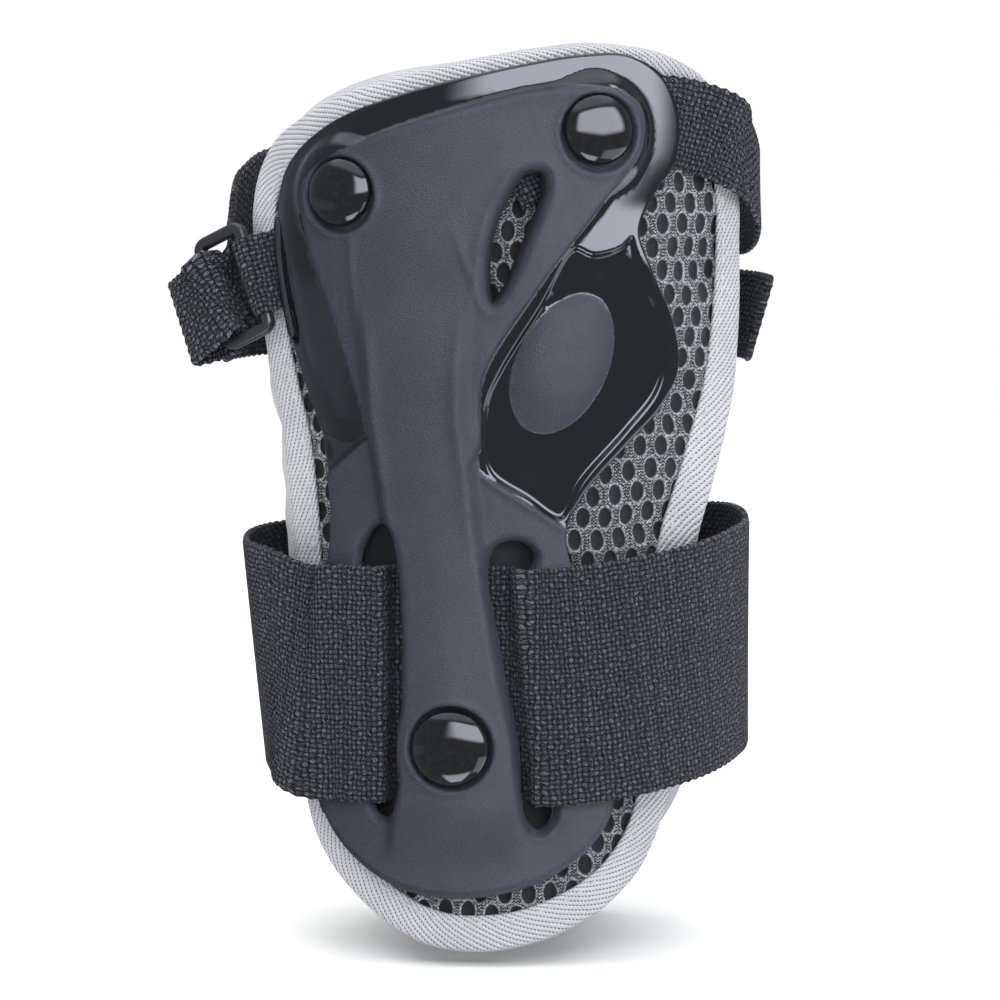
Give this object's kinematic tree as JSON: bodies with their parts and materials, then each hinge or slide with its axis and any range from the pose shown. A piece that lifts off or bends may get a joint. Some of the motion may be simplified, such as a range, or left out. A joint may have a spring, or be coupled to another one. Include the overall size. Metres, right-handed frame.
{
  "type": "wrist guard",
  "caption": "Palm-side wrist guard: curved moulded skid plate riveted to a bound padded panel, with a wide wrist strap, a narrow hand strap through a ring and a padded back panel.",
  "frame": {"origin": "on the forearm's axis, at the wrist strap's height", "axes": "+Z along the forearm to the fingers, -Y is the palm side with the plate, +X is to the thumb"},
  "size_m": [0.13, 0.089, 0.1919],
  "materials": {
    "plate": "fine-grained moulded plastic with polished skid zones",
    "cap": "polished black",
    "washer": "plated steel",
    "mesh": "open spacer mesh",
    "cover": "brushed nylon",
    "foam": "closed-cell foam",
    "lining": "brushed knit",
    "binding": "pale grey twill tape",
    "gusset": "pale grey woven cloth",
    "webbing": "coarse woven nylon",
    "patch": "hook and loop tape",
    "stay": "plain moulded plastic",
    "ring": "smooth moulded plastic"
  },
  "bodies": {
    "guard": {"palm_plate": "plate", "palm_mesh": "mesh", "palm_foam": "foam", "palm_lining": "lining", "palm_binding": "binding", "dorsal_cover": "cover", "dorsal_foam": "foam", "dorsal_lining": "lining", "dorsal_binding": "binding", "side_gusset": "gusset", "dorsal_splint": "stay", "splint_pocket": "cover", "wrist_strap": "webbing", "wrist_loop": "patch", "ring_tab": "webbing", "hand_strap": "webbing", "hand_loop": "patch", "rivet_cap_upper_left": "cap", "rivet_washer_upper_left": "washer", "rivet_cap_upper_right": "cap", "rivet_washer_upper_right": "washer", "rivet_cap_lower": "cap", "rivet_washer_lower": "washer"},
    "wrist_free_end": {"wrist_flap": "webbing", "wrist_hook": "patch"},
    "hand_free_end": {"hand_strap_tail": "webbing", "hand_hook": "patch"},
    "ring": {"strap_ring": "ring"}
  },
  "joints": [
    {"name": "wrist_flap_peel", "type": "hinge", "parent": "guard", "child": "wrist_free_end", "pos_m": [0.0535, 0.0125, 0], "axis": [0, 0, -1], "range_deg": [0, 100]},
    {"name": "hand_tail_peel", "type": "hinge", "parent": "guard", "child": "hand_free_end", "pos_m": [-0.0615, -0.008, 0.073], "axis": [0, 0, 1], "range_deg": [0, 65]},
    {"name": "ring_rock", "type": "hinge", "parent": "guard", "child": "ring", "pos_m": [-0.0518, -0.0198, 0.0817], "axis": [-0.303, 0.313, 0.9001], "range_deg": [-6, 6]}
  ]
}
